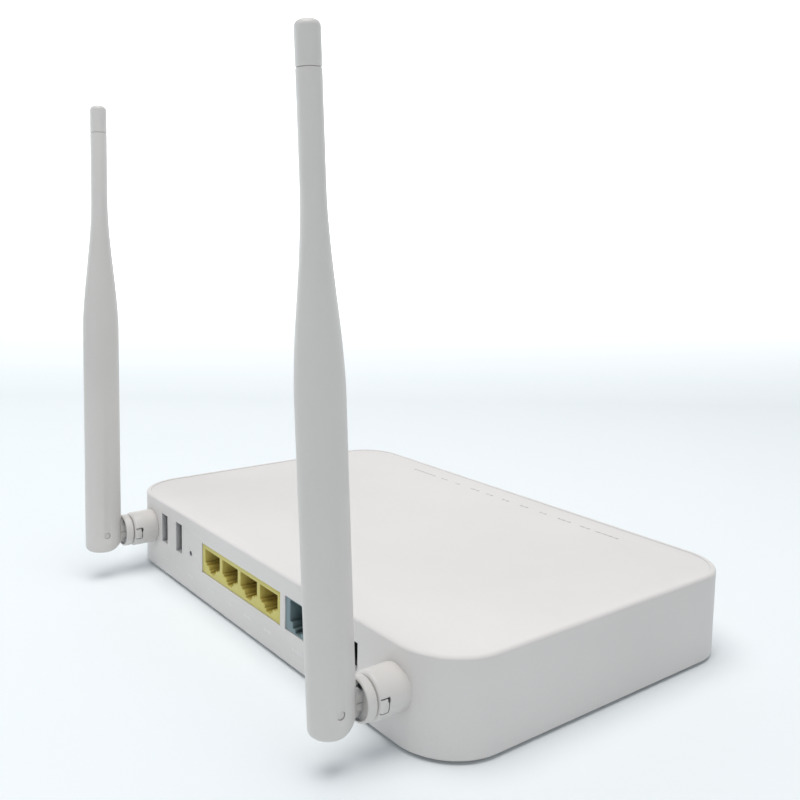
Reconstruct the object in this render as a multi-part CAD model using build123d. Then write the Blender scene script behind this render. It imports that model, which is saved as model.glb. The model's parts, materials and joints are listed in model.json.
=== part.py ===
from build123d import *
import math
import os

# Optical network terminal: a low rectangular housing with two hinged aerials on its rear panel.
# Origin: on the surface it stands on, under the middle of the housing.
# +Z is up, the status-light edge faces -Y, and the socket panel faces +Y. All sizes are millimetres.

# Housing
body_width = 209.5
body_depth = 136.0
shell_height = 29.7
foot_height = 1.2
wall = 2.2
rear_corner_radius = 20.0
front_corner_radius = 18.5
top_edge_radius = 0.8
rim_width = 1.8
rim_depth = 0.25
cover_gap = 0.15
base_thickness = 2.0

# Circuit board
board_height = 10.2
board_thickness = 1.6
board_half_width = 86.0
board_front = -50.0
board_rear = 65.0

# Rear panel sockets: X of each centre, seen from behind the +X side is on the left
usb_centres = (70.55, 56.9)
usb_slot_width = 5.4
usb_slot_height = 12.0
usb_axis_height = 20.05
reset_x = 46.05
reset_height = 16.8
lan_centre = 7.1
lan_pitch = 13.97
lan_face_width = 58.0
lan_face_bottom = 12.55
lan_face_top = 23.95
phone_centre = -32.75
phone_face_width = 15.1
phone_face_bottom = 12.65
phone_face_top = 24.05
power_button_x = -48.5
power_button_height = 18.3
power_button_travel = 1.8
dc_centre = -61.2
dc_slot_width = 9.8
dc_slot_bottom = 14.7
dc_slot_top = 23.6

# Aerials: the hinge stands out from the panel. At rest each blade leans back from upright (a negative
# lean is towards the housing), and the right knuckle is swung outwards.
aerial_x = 83.8
aerial_axis_height = 18.0
socket_length = 10.15
socket_end_radius = 1.3
socket_radius = 6.95
socket_hole_radius = 7.05
shaft_radius = 4.5
running_gap = 0.05
ring_length = 3.2
ring_radius = 6.45
dish_radius = 5.75
dish_depth = 1.3
moving_gap = 0.3
hinge_reach = 21.5
blade_lean = {"left": 3.2, "right": -2.05}
knuckle_swing = {"left": 0.0, "right": 5.3}
blade_half_depth = 7.45
blade_half_thickness = 4.7
blade_below_hinge = 6.8
foot_inner_radius = 4.6
foot_outer_radius = 3.2
taper_start = 84.0
taper_end = 139.0
rod_radius = 3.35
cap_seam = 166.7
blade_top = 178.0
pin_radius = 1.25
tongue_half_width = 1.5
tongue_radius = 4.2
tongue_neck = 3.0
slot_gap = 0.25

# Optical socket on the +X end wall
optical_y = 30.0
optical_height = 16.5

# Status lights: X of each light along the front edge
light_positions = (49.7, 35.5, 27.0, 15.5, 5.9, -3.9, -14.5, -25.3, -36.3, -46.7, -57.3)
light_height = 13.4

# Derived levels
rear = body_depth / 2
front = -rear
side = body_width / 2
shell_bottom = foot_height
shell_top = foot_height + shell_height
ceiling = shell_top - wall
base_top = shell_bottom + base_thickness
board_top = board_height + board_thickness
inner_rear = rear - wall
cover_screw_places = [(x, y) for x in (-93.5, 93.5) for y in (-56.5, 56.5)]
board_screw_places = [(x, y) for x in (-80.0, 80.0) for y in (-44.0, 54.0)]
foot_places = [(x, y) for x in (-78.0, 78.0) for y in (-48.0, 48.0)]


def block(x, y, z):
    """A box from three (low, high) pairs."""
    middle = Pos((x[0] + x[1]) / 2, (y[0] + y[1]) / 2, (z[0] + z[1]) / 2)
    return middle * Box(x[1] - x[0], y[1] - y[0], z[1] - z[0])


def rod_x(radius, x, y, z):
    """A cylinder along X between x[0] and x[1]."""
    return Pos((x[0] + x[1]) / 2, y, z) * Rot(0, 90, 0) * Cylinder(radius, x[1] - x[0])


def rod_y(radius, x, y, z):
    """A cylinder along Y between y[0] and y[1]."""
    return Pos(x, (y[0] + y[1]) / 2, z) * Rot(90, 0, 0) * Cylinder(radius, y[1] - y[0])


def rod_z(radius, x, y, z):
    """A cylinder along Z between z[0] and z[1]."""
    return Pos(x, y, (z[0] + z[1]) / 2) * Cylinder(radius, z[1] - z[0])


def slab(inset, z_low, z_high):
    """The housing's plan shape, inset all round, between two heights."""
    plan = Rectangle(body_width - 2 * inset, body_depth - 2 * inset)
    corners = plan.vertices().sort_by(Axis.Y)
    plan = fillet(corners[:2], front_corner_radius - inset)
    corners = plan.vertices().sort_by(Axis.Y)
    plan = fillet(corners[-2:], rear_corner_radius - inset)
    return Pos(0, 0, z_low) * extrude(plan, z_high - z_low)


def stepped_hole(x, y, top, steps):
    """A socket opening along Y: a list of (width, bottom) steps that narrow downwards."""
    hole = None
    level = top
    for width, bottom in steps:
        piece = block((x - width / 2, x + width / 2), y, (bottom, level + 0.01))
        hole = piece if hole is None else hole + piece
        level = bottom
    return hole


def save(shape, node):
    """Write one sub-part, as a compound where it is several separate solids."""
    if isinstance(shape, list):
        shape = Compound(children=shape)
    export_step(shape, f"parts/{node}.step")


# ---------------------------------------------------------------- housing

def top_cover():
    cover = slab(0, shell_bottom, shell_top)
    top_edges = cover.faces().sort_by(Axis.Z)[-1].edges()
    cover = fillet(top_edges, top_edge_radius)
    cover -= slab(wall, shell_bottom - 1, ceiling)
    cover -= slab(rim_width, shell_top - rim_depth, shell_top + 1)
    through = (inner_rear - 1, rear + 1)
    for x in usb_centres:
        half = usb_slot_width / 2
        z = (usb_axis_height - usb_slot_height / 2, usb_axis_height + usb_slot_height / 2)
        cover -= block((x - half, x + half), through, z)
    cover -= rod_y(1.0, reset_x, through, reset_height)
    lan_half = lan_face_width / 2 + cover_gap
    lan_z = (lan_face_bottom - cover_gap, lan_face_top + cover_gap)
    cover -= block((lan_centre - lan_half, lan_centre + lan_half), through, lan_z)
    phone_half = phone_face_width / 2 + cover_gap
    phone_z = (phone_face_bottom - cover_gap, phone_face_top + cover_gap)
    cover -= block((phone_centre - phone_half, phone_centre + phone_half), through, phone_z)
    cover -= rod_y(4.2, power_button_x, through, power_button_height)
    dc_half = dc_slot_width / 2
    cover -= block((dc_centre - dc_half, dc_centre + dc_half), through, (dc_slot_bottom, dc_slot_top))
    for x in (-aerial_x, aerial_x):
        cover -= rod_y(socket_hole_radius, x, through, aerial_axis_height)
    for x in light_positions:
        cover -= rod_y(1.1, x, (front - 1, front + wall + 1), light_height)
    optical_window = ((optical_y - 6.45, optical_y + 6.45), (optical_height - 4.85, optical_height + 4.85))
    cover -= block((side - wall - 1, side + 1), *optical_window)
    for x, y in cover_screw_places:
        cover += rod_z(3.5, x, y, (base_top + 0.1, ceiling + 0.5))
    for x, y in cover_screw_places:
        cover -= rod_z(1.25, x, y, (base_top - 1, base_top + 13))
    for x in (-60.0, -20.0, 20.0, 60.0):
        cover += block((x - 0.6, x + 0.6), (-60.0, 40.0), (ceiling - 1.5, ceiling + 0.5))
    return cover


def keyhole(x, y):
    """A wall-hanging hole: a round entry, and a narrow slot towards the front edge."""
    z = (shell_bottom - 1, base_top + 1)
    slot = block((x - 2.1, x + 2.1), (y - 9.0, y), z)
    return rod_z(4.2, x, y, z) + slot + rod_z(2.1, x, y - 9.0, z)


def base_cover():
    inset = wall + cover_gap
    base = slab(inset, shell_bottom, base_top)
    base += slab(inset, base_top - 0.5, base_top + 2.5) - slab(inset + 1.5, base_top - 1, base_top + 3)
    for x, y in board_screw_places:
        base += rod_z(3.0, x, y, (base_top - 0.5, board_height))
        base -= rod_z(1.0, x, y, (base_top + 1, board_height + 1))
    for x, y in cover_screw_places:
        base -= rod_z(1.7, x, y, (shell_bottom - 1, base_top + 1))
        base -= rod_z(3.2, x, y, (shell_bottom - 1, shell_bottom + 1.2))
    for x, y in foot_places:
        base -= rod_z(6.1, x, y, (shell_bottom - 1, shell_bottom + 0.6))
    for x in (-50.0, 50.0):
        base -= keyhole(x, 4.0)
    for group_y in (-40.0, 34.0):
        for index in range(17):
            x = (index - 8) * 5.0
            base -= block((x - 1.0, x + 1.0), (group_y - 11, group_y + 11), (shell_bottom - 1, base_top + 1))
    base -= block((-32.2, 32.2), (-18.2, 14.2), (shell_bottom - 1, shell_bottom + 0.3))
    return base


def rubber_feet():
    feet = []
    for x, y in foot_places:
        foot = rod_z(6.0, x, y, (0.0, shell_bottom + 0.6))
        feet.append(chamfer(foot.faces().sort_by(Axis.Z)[0].edges(), 0.5))
    return feet


def screw(x, y, head_low, head_height, tip, head_radius, shank_radius):
    """A pan-head screw; the head is a disc with a cross recess, and the shank runs to the tip."""
    upward = tip > head_low
    head_high = head_low + head_height
    head = rod_z(head_radius, x, y, (head_low, head_high))
    outer = head_low if upward else head_high
    recess = (outer - 0.6, outer + 0.6)
    head -= block((x - 1.5, x + 1.5), (y - 0.35, y + 0.35), recess)
    head -= block((x - 0.35, x + 0.35), (y - 1.5, y + 1.5), recess)
    shank = (head_high, tip) if upward else (tip, head_low)
    return head + rod_z(shank_radius, x, y, shank)


def cover_screws():
    return [screw(x, y, shell_bottom + 0.1, 1.1, base_top + 10, 2.8, 1.25) for x, y in cover_screw_places]


def blank_label():
    return block((-32.0, 32.0), (-18.0, 14.0), (shell_bottom + 0.1, shell_bottom + 0.3))


# ---------------------------------------------------------------- circuit board and its parts

def main_board():
    board = block((-board_half_width, board_half_width), (board_front, board_rear), (board_height, board_top))
    for x in (-1, 1):
        corner = sorted((x * 74.0, x * 90.0))
        board -= block(corner, (60.0, 70.0), (board_height - 1, board_top + 1))
    for x, y in board_screw_places:
        board -= rod_z(1.6, x, y, (board_height - 1, board_top + 1))
    return board


def board_screws():
    return [screw(x, y, board_top, 1.3, board_height - 4.5, 2.6, 1.0) for x, y in board_screw_places]


def chip(x, y, width, depth, height):
    """A flat package on the board with a small corner dot pressed in its top."""
    body = block((x - width / 2, x + width / 2), (y - depth / 2, y + depth / 2), (board_top, board_top + height))
    dot = (x - width / 2 + 1.4, y - depth / 2 + 1.4)
    return body - rod_z(0.5, *dot, (board_top + height - 0.2, board_top + height + 1))


def heatsink(x, y, bottom):
    sink = block((x - 19, x + 19), (y - 19, y + 19), (bottom, bottom + 2.0))
    for index in range(10):
        fin = x - 18.4 + index * 4.0
        sink += block((fin - 0.6, fin + 0.6), (y - 19, y + 19), (bottom + 1.0, bottom + 10.0))
    return sink


def shield_can(x, y, width, depth):
    can = block((x - width / 2, x + width / 2), (y - depth / 2, y + depth / 2), (board_top, board_top + 3.2))
    can -= block((x - width / 2 + 0.3, x + width / 2 - 0.3), (y - depth / 2 + 0.3, y + depth / 2 - 0.3),
                 (board_top - 1, board_top + 2.9))
    for row in (-1, 1):
        for column in range(4):
            place = (x + (column - 1.5) * width / 5, y + row * depth / 5)
            can -= rod_z(0.9, *place, (board_top + 2, board_top + 4))
    return can


def lan_transformers():
    return [chip(x, 38.0, 15.0, 11.0, 5.8) for x in (-11.0, 7.0, 25.0)]


def capacitors():
    return [rod_z(4.0, x, y, (board_top, board_top + 11.5)) for x, y in ((-60.0, 40.0), (-49.0, 34.0), (-60.0, 30.0))]


def inductors():
    return [chip(x, 18.0, 7.0, 7.0, 4.0) for x in (-62.0, -53.0)]


def status_lights():
    return [block((x - 1.0, x + 1.0), (board_front + 0.4, board_front + 1.6), (board_top, board_top + 2.4))
            for x in light_positions]


def light_guide():
    low = min(light_positions)
    high = max(light_positions)
    guide = block((low - 2, high + 2), (-59.0, -56.0), (light_height - 0.9, light_height + 0.9))
    for x in light_positions:
        guide += rod_y(1.0, x, (front + 0.1, board_front - 0.1), light_height)
    return guide


# ---------------------------------------------------------------- sockets

def lan_ports():
    return [lan_centre + (index - 1.5) * lan_pitch for index in range(4)]


def lan_jack_block():
    half = lan_face_width / 2
    x = (lan_centre - half, lan_centre + half)
    body = block(x, (52.6, inner_rear - 0.2), (board_top, lan_face_top))
    body += block(x, (inner_rear - 0.5, rear - 0.35), (lan_face_bottom, lan_face_top))
    for port in lan_ports():
        steps = [(11.9, 16.85), (9.6, 16.1), (5.4, 14.7), (3.3, 13.85)]
        body -= stepped_hole(port, (55.5, rear + 1), 22.2, steps)
    return body


def lan_jack_contacts():
    contacts = []
    for port in lan_ports():
        for index in range(8):
            x = port + (index - 3.5) * 1.02
            contact = Pos(x, 59.6, 20.75) * Rot(-14, 0, 0) * Box(0.45, 7.0, 0.3)
            contacts.append(contact)
    return contacts


def phone_jack():
    half = phone_face_width / 2
    x = (phone_centre - half, phone_centre + half)
    body = block(x, (51.0, inner_rear - 0.2), (board_top, phone_face_top))
    body += block(x, (inner_rear - 0.5, rear - 0.35), (phone_face_bottom, phone_face_top))
    steps = [(9.7, 16.2), (6.4, 14.3), (3.3, 13.1)]
    return body - stepped_hole(phone_centre, (53.5, rear + 1), 23.6, steps)


def phone_jack_contacts():
    contacts = []
    for index in range(4):
        x = phone_centre + (index - 1.5) * 1.02
        contacts.append(Pos(x, 58.0, 22.4) * Rot(-14, 0, 0) * Box(0.45, 7.0, 0.3))
    return contacts


def usb_socket(x):
    z = (usb_axis_height - 6.6, usb_axis_height + 6.6)
    shell = block((x - 3.0, x + 3.0), (50.0, inner_rear - 0.1), z)
    shell -= block((x - 2.65, x + 2.65), (50.4, rear), (z[0] + 0.35, z[1] - 0.35))
    for height in (usb_axis_height - 3.2, usb_axis_height + 3.2):
        shell -= block((x - 4, x + 4), (58.0, 62.0), (height - 0.9, height + 0.9))
    return shell


def usb_tongue(x):
    tongue = block((x - 2.65, x + 2.65), (50.4, 53.0), (usb_axis_height - 6.2, usb_axis_height + 6.2))
    tongue += block((x + 0.35, x + 2.2), (52.5, 62.4), (usb_axis_height - 5.55, usb_axis_height + 5.55))
    return tongue


def usb_stands():
    """Plastic bases that hold the upright sockets off the board."""
    low = usb_axis_height - 6.6
    return [block((x - 3.4, x + 3.4), (51.0, 64.5), (board_top, low)) for x in usb_centres]


def usb_contacts():
    contacts = []
    for x in usb_centres:
        for offset in (-3.5, -1.0, 1.0, 3.5):
            z = usb_axis_height + offset
            contacts.append(block((x + 0.15, x + 0.35), (53.4, 61.6), (z - 0.5, z + 0.5)))
    return contacts


def dc_jack():
    body = block((dc_centre - 5.2, dc_centre + 5.2), (51.5, inner_rear - 0.1), (board_top, 24.2))
    body -= rod_y(3.15, dc_centre, (54.5, rear), 19.0)
    body -= block((dc_centre - 5.3, dc_centre - 4.2), (55.0, 61.0), (14.0, 22.0))
    return body


def dc_jack_pin():
    return rod_y(1.0, dc_centre, (54.5, 62.5), 19.0)


def dc_jack_spring():
    """The side contact leaf that presses on the plug's barrel."""
    return block((dc_centre - 4.6, dc_centre - 4.3), (55.3, 60.7), (16.0, 20.5))


def power_switch():
    x = power_button_x
    body = block((x - 4.3, x + 4.3), (45.0, 57.5), (board_top, 23.0))
    return body - rod_y(2.0, x, (46.5, 58.0), power_button_height)


def power_button():
    x = power_button_x
    z = power_button_height
    cap = rod_y(3.9, x, (60.2, rear + 2.6), z)
    cap = fillet(cap.faces().sort_by(Axis.Y)[-1].edges(), 0.7)
    cap += rod_y(4.9, x, (inner_rear - 1.3, inner_rear - 0.3), z)
    return cap + rod_y(1.95, x, (49.5, 60.5), z)


def reset_switch():
    body = block((reset_x - 3.1, reset_x + 3.1), (55.5, 60.0), (board_top, 20.4))
    return body - rod_y(1.6, reset_x, (57.4, 61.0), reset_height)


def reset_plunger():
    plunger = rod_y(1.55, reset_x, (58.0, 63.9), reset_height)
    return chamfer(plunger.faces().sort_by(Axis.Y)[-1].edges(), 0.3)


def optical_socket():
    y = (optical_y - 6.3, optical_y + 6.3)
    z = (optical_height - 4.7, optical_height + 4.7)
    body = block((88.0, 110.2), y, z)
    flange = block((side - wall - 2.0, side - wall - 0.1), (y[0] - 1.6, y[1] + 1.6), (z[0], z[1] + 1.6))
    body += flange
    cavity = block((96.5, 112.0), (optical_y - 4.6, optical_y + 4.6), (optical_height - 3.75, optical_height + 3.75))
    cavity += block((96.5, 112.0), (optical_y - 1.3, optical_y + 1.3), (optical_height, optical_height + 4.4))
    body -= cavity
    sleeve = rod_x(2.0, (95.0, 105.5), optical_y, optical_height)
    return body + sleeve - rod_x(1.27, (90.0, 106.0), optical_y, optical_height)


def optical_module():
    """The laser and receiver block behind the optical socket."""
    block_body = block((74.0, 87.9), (optical_y - 4.0, optical_y + 4.0), (board_top, optical_height + 4.0))
    return block_body + rod_y(2.8, 80.0, (optical_y - 9.0, optical_y + 4.0), optical_height)


def optical_dust_cap():
    plug = block((98.0, 110.6), (optical_y - 4.3, optical_y + 4.3), (optical_height - 3.45, optical_height + 3.45))
    head = block((110.5, 113.8), (optical_y - 6.6, optical_y + 6.6), (optical_height - 4.7, optical_height + 4.7))
    head = fillet(head.edges().filter_by(Axis.X), 1.5)
    head = fillet(head.faces().sort_by(Axis.X)[-1].edges(), 0.8)
    return plug + head - rod_x(2.4, (97.0, 107.0), optical_y, optical_height)


# ---------------------------------------------------------------- aerials

def rf_connector(sign):
    body = rod_z(1.6, sign * 66.0, 46.0, (board_top, board_top + 1.6))
    return body + rod_z(1.0, sign * 66.0, 46.0, (board_top + 1.5, board_top + 2.0))


def pigtail(sign):
    """Coaxial lead from the board to the middle of the swivel's hollow shaft."""
    start = (sign * 66.0, 46.0, board_top + 2.7)
    corner = (sign * aerial_x, 46.0, aerial_axis_height)
    end = (sign * aerial_x, rear + 8.0, aerial_axis_height)
    run = math.dist(start, corner)
    path = FilletPolyline(start, corner, end, radius=0.45 * run)
    return sweep(path.location_at(0) * Circle(0.65), path=path)


def radial(x, y, z, angle):
    """A place on a socket's axis, turned so that local X points outwards at an angle above +X."""
    return Pos(x, y, z) * Rot(0, -angle, 0)


def aerial_socket(x):
    """Fixed collar: a tube through the panel with a flange inside and a slotted snap finger."""
    z = aerial_axis_height
    tube = rod_y(socket_radius, x, (inner_rear - 0.5, rear + socket_length), z)
    tube = fillet(tube.faces().sort_by(Axis.Y)[-1].edges(), socket_end_radius)
    flange = rod_y(8.6, x, (inner_rear - 1.3, inner_rear - 0.05), z)
    tube += flange & slab(wall + 0.05, z - 10, z + 10)
    tube -= rod_y(shaft_radius + running_gap, x, (inner_rear - 2, rear + socket_length + 1), z)
    finger_back = rear + 7.15
    finger_length = 2.6
    finger_edges = (166.0, 203.0)
    for angle in finger_edges:
        tube -= radial(x, finger_back + finger_length / 2, z, angle) * Pos(6.5, 0, 0) * Box(5.0, finger_length, 0.35)
    tube -= radial(x, finger_back, z, sum(finger_edges) / 2) * Pos(6.5, 0, 0) * Box(5.0, 0.35, 4.5)
    eye = SlotOverall(1.9, 0.9)
    tube -= radial(x, finger_back, z, 171.0) * Pos(4.0, 0, 0) * Rot(0, 90, 0) * extrude(eye, 5.0)
    return tube


def aerial_swivel(x, swing):
    """Turning knuckle: snap-lipped hollow shaft, dished ring, and the tongue that the blade hinges on."""
    ring_start = rear + socket_length + moving_gap
    ring_end = ring_start + ring_length
    floor = ring_end - dish_depth
    hinge_y = rear + hinge_reach
    ring = rod_y(ring_radius, 0, (ring_start, ring_end), 0)
    ring = fillet(ring.faces().sort_by(Axis.Y)[-1].edges(), 0.7)
    ring = fillet(ring.faces().sort_by(Axis.Y)[0].edges(), 0.8)
    ring -= rod_y(dish_radius, 0, (floor, ring_end + 1), 0)
    lip = rod_y(5.3, 0, (inner_rear - 2.6, inner_rear - 1.6), 0)
    shaft = rod_y(shaft_radius, 0, (inner_rear - 2.6, ring_start + 0.5), 0)
    high = [(floor - 0.5, tongue_neck), (floor + 0.2, tongue_neck), (floor + 1.4, tongue_radius), (hinge_y, tongue_radius)]
    low = [(y, -z) for y, z in reversed(high)]
    tongue = extrude(Plane.YZ * Polygon(*high, *low, align=None), tongue_half_width, both=True)
    tongue += rod_x(tongue_radius, (-tongue_half_width, tongue_half_width), hinge_y, 0)
    swivel = ring + lip + shaft + tongue
    swivel -= rod_y(1.1, 0, (inner_rear - 4, ring_end + 1.5), 0)
    swivel -= block((-0.85, 0.85), (ring_end - 2.2, ring_end + 4.0), (0.2, 5.2))
    swivel -= rod_x(pin_radius + running_gap, (-4, 4), hinge_y, 0)
    return Pos(x, 0, aerial_axis_height) * Rot(0, swing, 0) * swivel


def taper_section(height, inset):
    """Half thickness and half depth of the blade at a height above the hinge."""
    share = min(max((height - taper_start) / (taper_end - taper_start), 0.0), 1.0)
    blend = share * share * (3 - 2 * share)
    thickness = blade_half_thickness + (rod_radius - blade_half_thickness) * blend - inset
    depth = blade_half_depth + (rod_radius - blade_half_depth) * blend - inset
    return thickness, depth


def blade_solid(bottom, top, inset):
    """An oval bar that narrows to a round rod, built about the hinge axis."""
    lower = Pos(0, 0, bottom) * extrude(Ellipse(*taper_section(0, inset)), taper_start - bottom)
    steps = 6
    heights = [taper_start + (taper_end - taper_start) * index / steps for index in range(steps)]
    sections = [Pos(0, 0, height) * Ellipse(*taper_section(height, inset)) for height in heights]
    sections.append(Pos(0, 0, taper_end) * Circle(rod_radius - inset))
    upper = Pos(0, 0, taper_end) * extrude(Circle(rod_radius - inset), top - taper_end)
    return lower + loft(sections) + upper


def blade():
    """Hollow blade with a forked foot; the slot lets it fold from just past upright to straight back."""
    body = blade_solid(-blade_below_hinge - 2, cap_seam, 0.0)
    profile = Pos(0, 100 - blade_below_hinge) * Rectangle(2 * blade_half_depth + 0.3, 200)
    profile = fillet(profile.vertices().sort_by(Axis.Y)[:2].sort_by(Axis.X)[0], foot_inner_radius)
    profile = fillet(profile.vertices().sort_by(Axis.Y)[:2].sort_by(Axis.X)[-1], foot_outer_radius)
    body &= extrude(Plane.YZ * profile, 10, both=True)
    body -= blade_solid(12.0, cap_seam + 1, 1.15)
    reach = tongue_radius + slot_gap
    half = tongue_half_width + moving_gap
    corners = [(0, reach), (-12, reach + 0.85), (-12, -12), (reach, -12), (reach, 0), (0, 0)]
    body -= extrude(Plane.YZ * Polygon(*corners, align=None), half, both=True)
    body -= rod_x(reach, (-half, half), 0, 0)
    return body - rod_x(pin_radius, (-10, 10), 0, 0)


def tip_cap():
    cap = Pos(0, 0, cap_seam) * extrude(Circle(rod_radius), blade_top - cap_seam)
    cap = fillet(cap.faces().sort_by(Axis.Z)[-1].edges(), 1.9)
    cap = chamfer(cap.faces().sort_by(Axis.Z)[0].edges(), 0.3)
    return cap + rod_z(rod_radius - 1.15, 0, 0, (cap_seam - 6, cap_seam + 1))


def hinge_pin():
    return rod_x(pin_radius, (-blade_half_thickness + 0.35, blade_half_thickness - 0.35), 0, 0)


def radiator():
    """Coaxial feed, sleeve and whip inside the blade, standing on a small plug."""
    plug = block((-1.2, 1.2), (-5.0, 5.0), (12.0, 15.0))
    feed = rod_z(0.7, 0, 0, (14.0, 62.0))
    sleeve = rod_z(2.0, 0, 0, (60.0, 92.0))
    whip = rod_z(0.6, 0, 0, (91.0, 150.0))
    return plug + feed + sleeve + whip


def main():
    os.makedirs("parts", exist_ok=True)
    save(top_cover(), "top_cover")
    save(base_cover(), "base_cover")
    save(rubber_feet(), "rubber_feet")
    save(cover_screws(), "cover_screws")
    save(blank_label(), "blank_label")
    save(main_board(), "main_board")
    save(board_screws(), "board_screws")
    save(chip(-4.0, -6.0, 23.0, 23.0, 1.8), "main_chip")
    save(block((-14.0, 6.0), (-16.0, 4.0), (board_top + 1.8, board_top + 2.6)), "thermal_pad")
    save(heatsink(-4.0, -6.0, board_top + 2.6), "heatsink")
    save([chip(x, -6.0, 8.0, 13.0, 1.1) for x in (24.0, 35.0)], "memory_chips")
    save(chip(-52.0, -10.0, 11.0, 11.0, 1.0), "radio_chip")
    save(shield_can(-52.0, -10.0, 34.0, 30.0), "radio_shield_can")
    save(shield_can(60.0, -2.0, 26.0, 28.0), "optical_shield_can")
    save(lan_transformers(), "lan_transformers")
    save(capacitors(), "capacitors")
    save(inductors(), "inductors")
    save(status_lights(), "status_lights")
    save(light_guide(), "status_light_guide")
    save(lan_jack_block(), "lan_jack_block")
    save(lan_jack_contacts(), "lan_jack_contacts")
    save(phone_jack(), "phone_jack")
    save(phone_jack_contacts(), "phone_jack_contacts")
    for number, x in enumerate(usb_centres, start=1):
        save(usb_socket(x), f"usb_socket_{number}")
        save(usb_tongue(x), f"usb_tongue_{number}")
    save(usb_stands(), "usb_stands")
    save(usb_contacts(), "usb_contacts")
    save(dc_jack(), "power_jack")
    save(dc_jack_pin(), "power_jack_pin")
    save(dc_jack_spring(), "power_jack_spring")
    save(power_switch(), "power_switch")
    save(power_button(), "power_button")
    save(reset_switch(), "reset_switch")
    save(reset_plunger(), "reset_plunger")
    save(optical_socket(), "optical_socket")
    save(optical_module(), "optical_module")
    save(optical_dust_cap(), "optical_dust_cap")
    for name, sign in (("left", -1), ("right", 1)):
        x = sign * aerial_x
        swing = knuckle_swing[name]
        hinge = Pos(x, rear + hinge_reach, aerial_axis_height) * Rot(0, swing, 0) * Rot(-blade_lean[name], 0, 0)
        save(rf_connector(sign), f"{name}_aerial_connector")
        save(pigtail(sign), f"{name}_aerial_lead")
        save(aerial_socket(x), f"{name}_aerial_socket")
        save(aerial_swivel(x, swing), f"{name}_aerial_swivel")
        save(hinge * blade(), f"{name}_aerial_blade")
        save(hinge * tip_cap(), f"{name}_aerial_cap")
        save(hinge * hinge_pin(), f"{name}_hinge_pin")
        save(hinge * radiator(), f"{name}_aerial_radiator")


main()
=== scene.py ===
import json
import math

import bmesh
import bpy
from mathutils import Matrix, Vector


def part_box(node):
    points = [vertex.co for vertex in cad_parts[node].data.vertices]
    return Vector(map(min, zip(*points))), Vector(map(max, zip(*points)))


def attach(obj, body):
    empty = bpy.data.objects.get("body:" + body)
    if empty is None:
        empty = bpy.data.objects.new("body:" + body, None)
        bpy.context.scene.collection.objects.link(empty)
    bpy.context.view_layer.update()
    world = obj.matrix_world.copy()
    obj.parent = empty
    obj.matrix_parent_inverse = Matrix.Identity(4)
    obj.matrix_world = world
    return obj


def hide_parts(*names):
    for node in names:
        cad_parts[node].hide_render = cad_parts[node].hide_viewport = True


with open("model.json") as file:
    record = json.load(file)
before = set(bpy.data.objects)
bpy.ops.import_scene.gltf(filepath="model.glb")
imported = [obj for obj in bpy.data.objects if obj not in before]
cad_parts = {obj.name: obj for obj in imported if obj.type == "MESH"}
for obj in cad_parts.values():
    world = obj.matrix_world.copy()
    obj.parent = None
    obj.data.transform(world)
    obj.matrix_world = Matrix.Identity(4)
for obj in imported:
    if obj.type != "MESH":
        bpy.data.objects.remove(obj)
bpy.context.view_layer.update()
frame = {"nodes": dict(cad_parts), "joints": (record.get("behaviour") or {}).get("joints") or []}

# Everything is in metres, in the part's own frame: +Z up, the socket panel faces +Y.
MM = 0.001
ALONG_X, ALONG_Y, ALONG_Z = (1, 0, 0), (0, 1, 0), (0, 0, 1)

# How far a cutter runs past the surface that it cuts
overshoot = 1.0 * MM


# ---------------------------------------------------------------- sizes

# Housing
cover_low, cover_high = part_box("top_cover")
side = cover_high.x
front = cover_low.y
rear = cover_high.y
bottom = cover_low.z
top = cover_high.z
rear_corner = 20.0 * MM
front_corner = 18.5 * MM
wall = 2.2 * MM
top_edge = 0.8 * MM
bottom_edge = 0.25 * MM
rim = 1.8 * MM
rim_slope = 0.12 * MM
rim_depth = 0.25 * MM
cover_gap = 0.15 * MM
ceiling = top - wall
inner_rear = rear - wall

# Base plate: places of holes are (X, Y), repeated in all four quarters
base_thickness = 2.0 * MM
screw_bores = ((93.5 * MM, 56.5 * MM), 3.2 * MM, 1.2 * MM, 40)  # place, radius, depth, segments
foot_recesses = ((78.0 * MM, 48.0 * MM), 6.1 * MM, 0.6 * MM, 64)
foot_radius = 6.0 * MM
keyhole_x = 50.0 * MM
keyhole_entry = (4.0 * MM, 4.2 * MM)  # Y, radius
keyhole_slot = (-5.0 * MM, 2.1 * MM)  # Y of the round end, half width
vent_rows = (-40.0 * MM, 34.0 * MM)
vent_count = 17
vent_pitch = 5.0 * MM
vent_half = (1.0 * MM, 11.0 * MM)
label_recess = ((-32.2 * MM, -18.2 * MM), (32.2 * MM, 14.2 * MM))
label_depth = 0.3 * MM

# Openings of the rear panel and the sockets behind them; steps are (width, bottom) in millimetres
usb_names = ("usb_socket_1", "usb_socket_2")
usb_slot = (5.4 * MM, 12.0 * MM)
reset_hole = (46.05 * MM, 16.8 * MM, 1.0 * MM)  # X, Z, radius
button_hole = (-48.5 * MM, 18.3 * MM, 4.2 * MM)
power_slot = (-66.1 * MM, -56.3 * MM, 14.7 * MM, 23.6 * MM)  # X low, X high, Z low, Z high
power_bore = 3.15 * MM
jack_setback = 0.2 * MM
jack_lap = 2.0 * MM
lan_count = 4
lan_pitch = 13.97 * MM
lan_face = (12.55 * MM, 23.95 * MM)
lan_steps = ((11.9, 16.85), (9.6, 16.1), (5.4, 14.7), (3.3, 13.85))
lan_port_top = 22.2 * MM
lan_floor = 55.5 * MM
phone_face = (12.65 * MM, 24.05 * MM)
phone_steps = ((9.7, 16.2), (6.4, 14.3), (3.3, 13.1))
phone_port_top = 23.6 * MM
phone_floor = 53.5 * MM

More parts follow.
